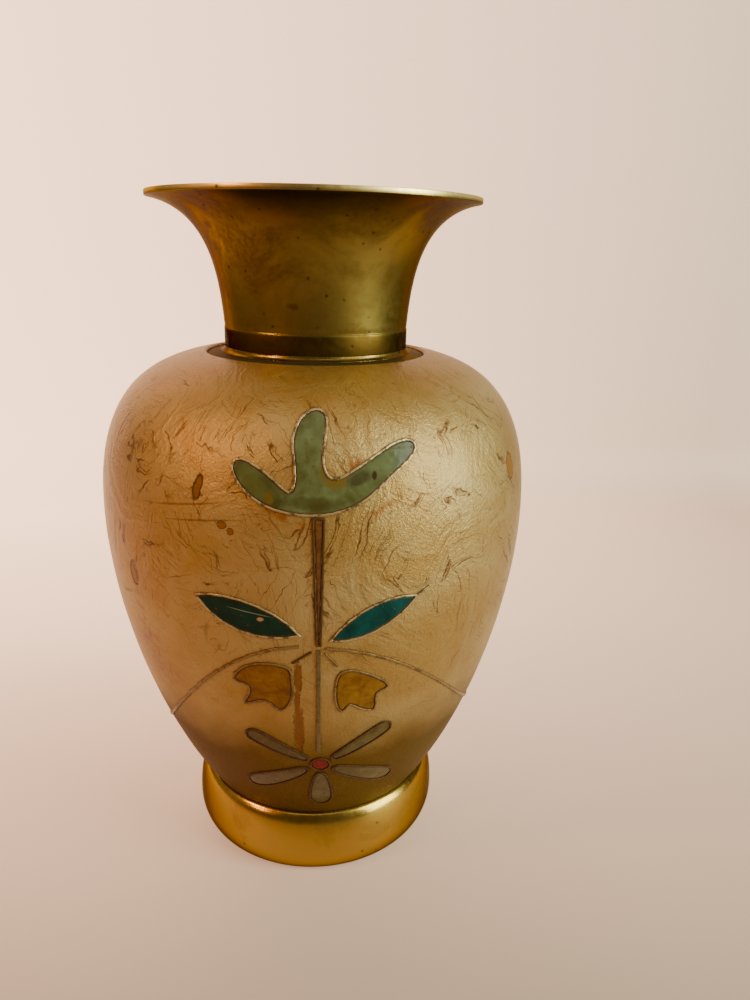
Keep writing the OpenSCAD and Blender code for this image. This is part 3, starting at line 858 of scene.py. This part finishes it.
def pearl_ground():
    material, tree, shader, where = new_material("pearl ground")
    height_z = put(tree, "ShaderNodeSeparateXYZ", {0: where}).outputs["Z"]
    broad = use(tree, STROKES, {"Vector": where, **BROAD_STROKES})
    fine = use(tree, STROKES, {"Vector": where, **FINE_STROKES})
    brushed = ramp(tree, height_z, BRUSHED_FROM, BRUSHED_FULL, 0.2, 1.0)

    # the pearl itself, cloudy, with thin dark lines between the strokes and dark specks
    cloud = noise(tree, where, 24 * MM, 4.0, 0.55, 0.8)
    grain = noise(tree, where, 0.7 * MM, 3.0, 0.7)
    colour = blend(tree, ramp(tree, cloud, 0.3, 0.7), PEARL_DEEP, PEARL_LIGHT)
    sparse = ramp(tree, noise(tree, where, 9 * MM, 2.0), 0.40, 0.58)
    line = sum_of(tree, "MULTIPLY", broad.outputs["Line"], sparse)
    line = sum_of(tree, "MAXIMUM", line, sum_of(tree, "MULTIPLY", fine.outputs["Line"], 0.55))
    broken = ramp(tree, grain, 0.3, 0.55, 0.5, 1.0)
    line = sum_of(tree, "MULTIPLY", sum_of(tree, "MULTIPLY", line, brushed), broken)
    colour = blend(tree, line, colour, HAIR_BROWN)
    colour = blend(tree, ramp(tree, grain, 0.62, 0.74, 0.0, 0.35), colour, SPECK_BROWN)

    # more golden below the neck, a darker gold above the foot that is a painted reflection of a dark surface,
    # and dirt along the wires
    band = sum_of(tree, "MULTIPLY_ADD", noise(tree, where, 12 * MM, 3.0), WANDER, height_z)
    colour = blend(tree, ramp(tree, band, NECK_GOLD_FROM, NECK_GOLD_FULL, 0.0, 0.6), colour, NECK_GOLD)
    # painted reflection: the darker gold low on the body stands for a dark surface mirrored there; the same
    # mask thins the coat
    low = ramp(tree, band, DARK_REFLECTION_FULL, DARK_REFLECTION_TO, 0.9, 0.0)
    colour = blend(tree, low, colour, DARK_REFLECTION_GOLD)
    near = sum_of(tree, "MULTIPLY_ADD", noise(tree, where, 1.8 * MM, 4.0), 1.4, attribute(tree, "rim"))
    colour = blend(tree, ramp(tree, near, 0.60, 1.10, 0.7, 0.0), colour, RIM_DIRT)

    # stains, the worn strip, creases and chips
    stained = ramp(tree, spots(tree, where, STAINS, 1.6), 0.2, 1.0, 1.0, 0.0)
    mottle = ramp(tree, noise(tree, where, 2.6 * MM, 5.0), 0.44, 0.62, 0.15, 0.95)
    blotch = sum_of(tree, "MULTIPLY", stained, mottle)
    colour = blend(tree, blotch, colour, STAIN_BROWN)
    strip_edge = spots(tree, where, WORN_STRIP, 1.0)
    strip = ramp(tree, strip_edge, 0.7, 1.05, 0.85, 0.0)
    colour = blend(tree, strip, colour, STRIP_BROWN)
    patchy = ramp(tree, noise(tree, where, 1.2 * MM), 0.45, 0.6)
    ragged = sum_of(tree, "MULTIPLY", outlined(tree, strip_edge, 0.04, 0.2, 0.8), patchy)
    colour = blend(tree, ragged, colour, STRIP_EDGE)
    crease = ramp(tree, spots(tree, where, CREASES, 0.5), 0.6, 1.1, 0.6, 0.0)
    colour = blend(tree, crease, colour, CREASE_BROWN)
    chip_edge = spots(tree, where, CHIPS, 0.55)
    chips = ramp(tree, chip_edge, 0.9, 1.0, 1.0, 0.0)
    colour = blend(tree, chips, colour, CHIP_BROWN)
    colour = blend(tree, outlined(tree, chip_edge, 0.03, 0.12, 0.7), colour, CHIP_EDGE)

    # the strokes' ridges and the grain stand up, and chips and the worn strip are hollows
    relief = sum_of(tree, "MULTIPLY_ADD", fine.outputs["Height"], 0.5, broad.outputs["Height"])
    relief = sum_of(tree, "MULTIPLY_ADD", grain, 0.5, sum_of(tree, "MULTIPLY", relief, brushed))
    hollow = sum_of(tree, "MULTIPLY", sum_of(tree, "MAXIMUM", chips, strip), 0.6)
    normal = bump(tree, sum_of(tree, "SUBTRACT", relief, hollow), 0.5 * MM, 0.8)
    finish_with(
        tree,
        shader,
        {
            "Base Color": colour,
            "Metallic": ramp(tree, sum_of(tree, "MAXIMUM", chips, blotch), 0.0, 1.0, 0.6, 0.1),
            "Specular IOR Level": LOW_SHINE,
            "Specular Tint": EDGE_TINT,
            "Roughness": ramp(tree, cloud, 0.3, 0.7, 0.40, 0.48),
            "Coat Weight": ramp(tree, sum_of(tree, "MAXIMUM", low, chips), 0.0, 0.9, 0.38, 0.04),
            "Coat Roughness": 0.26,
            "Coat IOR": 1.35,
            "Normal": normal,
            "Coat Normal": normal,
        },
    )
    return material


PEARL = pearl_ground()
print("pearl ground nodes:", len(PEARL.node_tree.nodes))


# %% [markdown]
# ## The coloured enamels
# Each colour is a hard gloss with a cloudy shade, pinholes, and a dark rim where dirt sits against the wire.
# Marks are single spots of burn, smoke or wear.

# %% Enamel recipe
OLD_DIRT = (0.09, 0.04, 0.02)


def enamel(name, deep, light, cloud_size, pit_share, rim_dirt=0.85, marks=()):
    material, tree, shader, where = new_material(name)
    cloud = noise(tree, where, cloud_size, 5.0, 0.6, 0.5)
    colour = blend(tree, ramp(tree, cloud, 0.32, 0.68), deep, light)
    pits = use(tree, PITS, {"Vector": where, "Size": 1.5 * MM, "Share": pit_share}).outputs["Mask"]
    near = sum_of(tree, "MULTIPLY_ADD", noise(tree, where, 1.2 * MM, 4.0), 0.7, attribute(tree, "rim"))
    edge = ramp(tree, near, 0.45, 0.85, rim_dirt, 0.0)
    dirt = sum_of(tree, "MAXIMUM", edge, sum_of(tree, "MULTIPLY", pits, 0.8))
    colour = blend(tree, dirt, colour, OLD_DIRT)
    for centre, size, lean, tone, share in marks:
        mark = ramp(tree, spots(tree, where, [(centre, size, lean)], 1.0), 0.6, 1.0, share, 0.0)
        colour = blend(tree, mark, colour, tone)
    height = sum_of(tree, "SUBTRACT", sum_of(tree, "MULTIPLY", cloud, 0.5), pits)
    finish_with(
        tree,
        shader,
        {
            "Base Color": colour,
            "Roughness": ramp(tree, dirt, 0.0, 1.0, 0.2, 0.6),
            "Specular IOR Level": 0.12,
            "Coat Weight": 0.03,
            "Coat Roughness": 0.06,
            "Normal": bump(tree, height, 0.06 * MM, 0.5),
        },
    )
    return material


BURNT, SMOKE, SOOT = (0.03, 0.015, 0.006), (0.13, 0.075, 0.008), (0.05, 0.04, 0.008)
TULIP_MARKS = [
    ((3.6, -57.0, 130.0), (3.6, 6.0, 4.8), 0, SMOKE, 0.8),
    ((9.0, -57.0, 128.2), (3.0, 6.0, 2.0), 0.3, BURNT, 0.6),
    ((12.6, -56.4, 128.9), (0.6, 4.0, 1.1), 0, BURNT, 0.9),
    ((-11.0, -58.0, 124.2), (1.2, 4.0, 1.8), 0, SMOKE, 0.8),
    ((-1.0, -58.0, 123.2), (8.0, 5.0, 1.8), 0, SOOT, 0.55),
    ((-15.0, -57.0, 127.5), (4.0, 5.0, 3.0), -0.6, (0.09, 0.085, 0.015), 0.6),
]
LEAF_MARKS = [
    ((-13.6, -58.1, 94.6), (0.9, 3.0, 0.6), 0, (0.42, 0.20, 0.08), 0.9),
    ((-16.5, -57.5, 96.3), (6.5, 6.0, 0.16), -0.15, (0.24, 0.24, 0.16), 0.6),
]
SAGE = enamel("sage enamel", (0.055, 0.05, 0.010), (0.115, 0.135, 0.05), 7 * MM, 0.3, marks=TULIP_MARKS)
DARK_GREEN = enamel(
    "dark green enamel", (0.003, 0.014, 0.007), (0.006, 0.032, 0.018), 6 * MM, 0.08, marks=LEAF_MARKS
)
TEAL = enamel("teal enamel", (0.0, 0.024, 0.017), (0.0, 0.054, 0.045), 6 * MM, 0.04)
OCHRE = enamel("ochre enamel", (0.14, 0.045, 0.003), (0.25, 0.11, 0.010), 3 * MM, 0.12)
STEM_BROWN = enamel("stem enamel", (0.07, 0.022, 0.006), (0.18, 0.07, 0.016), 2.5 * MM, 0.3)
CREAM = enamel("cream enamel", (0.07, 0.040, 0.006), (0.125, 0.082, 0.022), 4 * MM, 0.08, 0.5)
RED = enamel("red enamel", (0.12, 0.0, 0.0), (0.20, 0.001, 0.0), 3 * MM, 0.05)
print("enamels:", [m.name for m in bpy.data.materials if "enamel" in m.name])

# %% [markdown]
# ## Dressing the pieces
# Every new piece stands for a node of the model, rides on its one body, and takes a finish.

# %% Dress the vessel
def dress(piece, material, slot, *nodes):
    piece.data.materials.clear()
    piece.data.materials.append(material)
    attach(piece, "root")
    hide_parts(*nodes)


dress(foot, FOOT_BRASS, "foot_brass", "foot_ring")
dress(lower_shell, BODY_BRASS, "body_brass", "lower_shell")
dress(upper_shell, BODY_BRASS, "body_brass", "upper_shell")
dress(neck, NECK_BRASS, "neck_brass", "neck")
dress(neck_solder, SOLDER, "solder", "neck_solder_ring")
dress(foot_solder, SOLDER, "solder", "foot_solder_ring")
dress(ground, PEARL, "pearl_enamel", "ground_enamel")

# %% Dress the motif
ENAMEL_FINISH = {
    "tulip": (SAGE, "sage_enamel"),
    "stem": (STEM_BROWN, "stem_enamel"),
    "left_leaf": (DARK_GREEN, "dark_green_enamel"),
    "right_leaf": (TEAL, "teal_enamel"),
    "bell": (OCHRE, "ochre_enamel"),
    "petal": (CREAM, "cream_enamel"),
    "daisy": (RED, "red_enamel"),
}
WIRE_FINISH = {
    "petal": DARK_WIRE,
    "daisy": DARK_WIRE,
    "left_stalk": DARK_WIRE,
    "upper_stem": DARK_WIRE,
    "lower_stem": DULL_WIRE,
    "bell": VINE_WIRE,
    "vine": VINE_WIRE,
    "stalk": VINE_WIRE,
}
for side, side_wires, side_enamels in (("front_", wires, enamels), ("back_", back_wires, back_enamels)):
    for part, piece in side_wires.items():
        metal = next((metal for word, metal in WIRE_FINISH.items() if word in part), BRIGHT_WIRE)
        dress(piece, metal, "wire_brass", side + part)
    for part, piece in side_enamels.items():
        finish, slot = next(pair for word, pair in ENAMEL_FINISH.items() if word in part)
        dress(piece, finish, slot, side + part)
print("motif dressed")

# %% [markdown]
# ## The studio
# A plain pale sweep that glows a little, most at the left. A large cool window stands at the right, two small
# warm lamps and a wide warm room at the left, and a soft ceiling above.

# %% Floor and backdrop
WALL_Y = 0.33
FLOOR_W, FLOOR_D, WALL_H = 0.9, 0.8, 0.6
BEHIND_VASE_Y = 0.12
bpy.ops.mesh.primitive_plane_add(size=1, location=(0, WALL_Y - FLOOR_D / 2, 0))
sweep = bpy.context.active_object
sweep.name = "studio_sweep"
sweep.scale = (FLOOR_W, FLOOR_D, 1)
bpy.ops.object.transform_apply(location=True, rotation=True, scale=True)
bpy.ops.object.mode_set(mode="EDIT")
bpy.ops.mesh.select_all(action="DESELECT")
bpy.ops.object.mode_set(mode="OBJECT")
for edge in sweep.data.edges:
    edge.select = all(sweep.data.vertices[v].co.y > 0 for v in edge.vertices)
bpy.ops.object.mode_set(mode="EDIT")
bpy.ops.mesh.select_mode(type="EDGE")
bpy.ops.mesh.extrude_region_move(TRANSFORM_OT_translate={"value": (0, 0, WALL_H)})
bpy.ops.object.mode_set(mode="OBJECT")
round_corner = sweep.modifiers.new("round corner", "BEVEL")
round_corner.width, round_corner.segments, round_corner.angle_limit = 0.04, 12, math.radians(60)
apply_modifiers(sweep)
bpy.ops.object.shade_smooth()
paper, tree, shader, where = new_material("studio paper")
floor_place = put(tree, "ShaderNodeSeparateXYZ", {0: where})
near_side = ramp(tree, floor_place.outputs["Y"], -0.10, BEHIND_VASE_Y, 0.0, 1.15)
far_side = ramp(tree, floor_place.outputs["Y"], BEHIND_VASE_Y, WALL_Y, 0.0, 0.45)
from_left = ramp(tree, floor_place.outputs["X"], -0.30, 0.30, 2.0, 0.42)
glow = sum_of(tree, "MULTIPLY", sum_of(tree, "ADD", near_side, far_side), from_left)
finish_with(
    tree,
    shader,
    {
        "Base Color": (0.44, 0.33, 0.25),
        "Roughness": 0.6,
        "Emission Color": (1.0, 0.62, 0.40),
        "Emission Strength": glow,
    },
)
sweep.data.materials.append(paper)
print("sweep faces:", len(sweep.data.polygons))


# %% Lights
def soft_light(name, azimuth, elevation, distance, size, power, colour):
    """An area light round the vase: azimuth 0 is in front, positive to the right."""
    a, e = math.radians(azimuth), math.radians(elevation)
    towards = Vector((math.sin(a) * math.cos(e), -math.cos(a) * math.cos(e), math.sin(e)))
    data = bpy.data.lights.new(name, "AREA")
    data.shape, data.size, data.size_y = "RECTANGLE", size[0], size[1]
    data.energy, data.color = power, colour
    light = bpy.data.objects.new(name, data)
    bpy.context.scene.collection.objects.link(light)
    light.location = Vector((0, 0, HEIGHT / 2)) + distance * towards
    light.rotation_euler = towards.to_track_quat("Z", "Y").to_euler()


soft_light("window", 62, 20, 0.9, (0.5, 0.7), 14, (0.84, 0.99, 0.92))
soft_light("high warm lamp", -67, 38, 0.9, (0.13, 0.08), 3.2, (1.0, 0.58, 0.27))
soft_light("low warm lamp", -56, 22, 0.9, (0.12, 0.12), 1.7, (1.0, 0.42, 0.14))
soft_light("warm room", -95, 15, 1.1, (0.9, 0.8), 0.5, (1.0, 0.66, 0.42))
soft_light("ceiling", 0, 75, 1.3, (1.2, 1.2), 4.5, (1.0, 0.95, 0.86))
world = bpy.data.worlds.new("room")
bpy.context.scene.world = world
world.use_nodes = True
background = world.node_tree.nodes["Background"]
background.inputs["Color"].default_value = (0.90, 0.74, 0.62, 1)
background.inputs["Strength"].default_value = 0.12

# %% [markdown]
# ## The camera
# The viewpoint is a hand-held one: close, a little below the height of the rim, tilted down and not quite
# level. The distance and height are shares of the vase's own height.

# %% Camera
CAMERA_DISTANCE = 1.164 * HEIGHT
CAMERA_HEIGHT = 0.935 * HEIGHT
PITCH, ROLL, YAW = (math.radians(a) for a in (18.24, 1.34, 4.57))
SIDESTEP = math.radians(-0.4)
LENS_SHARE = 0.77
ahead = Vector((math.sin(YAW) * math.cos(PITCH), math.cos(YAW) * math.cos(PITCH), -math.sin(PITCH)))
right = Vector((math.cos(YAW), -math.sin(YAW), 0))
up = right.cross(ahead)
tilted_right = math.cos(ROLL) * right + math.sin(ROLL) * up
tilted_up = math.cos(ROLL) * up - math.sin(ROLL) * right
axes = Matrix((tilted_right, tilted_up, -ahead)).transposed().to_4x4()
camera_data = bpy.data.cameras.new("camera")
camera_data.sensor_width = 36
camera_data.lens = LENS_SHARE * camera_data.sensor_width
camera_data.clip_start = 0.01
camera = bpy.data.objects.new("camera", camera_data)
bpy.context.scene.collection.objects.link(camera)
stand = Matrix.Translation((0, -CAMERA_DISTANCE, CAMERA_HEIGHT))
camera.matrix_world = Matrix.Rotation(SIDESTEP, 4, "Z") @ stand @ axes
bpy.context.scene.camera = camera
print(f"lens {camera_data.lens:.1f} mm at {CAMERA_DISTANCE / MM:.0f} mm")
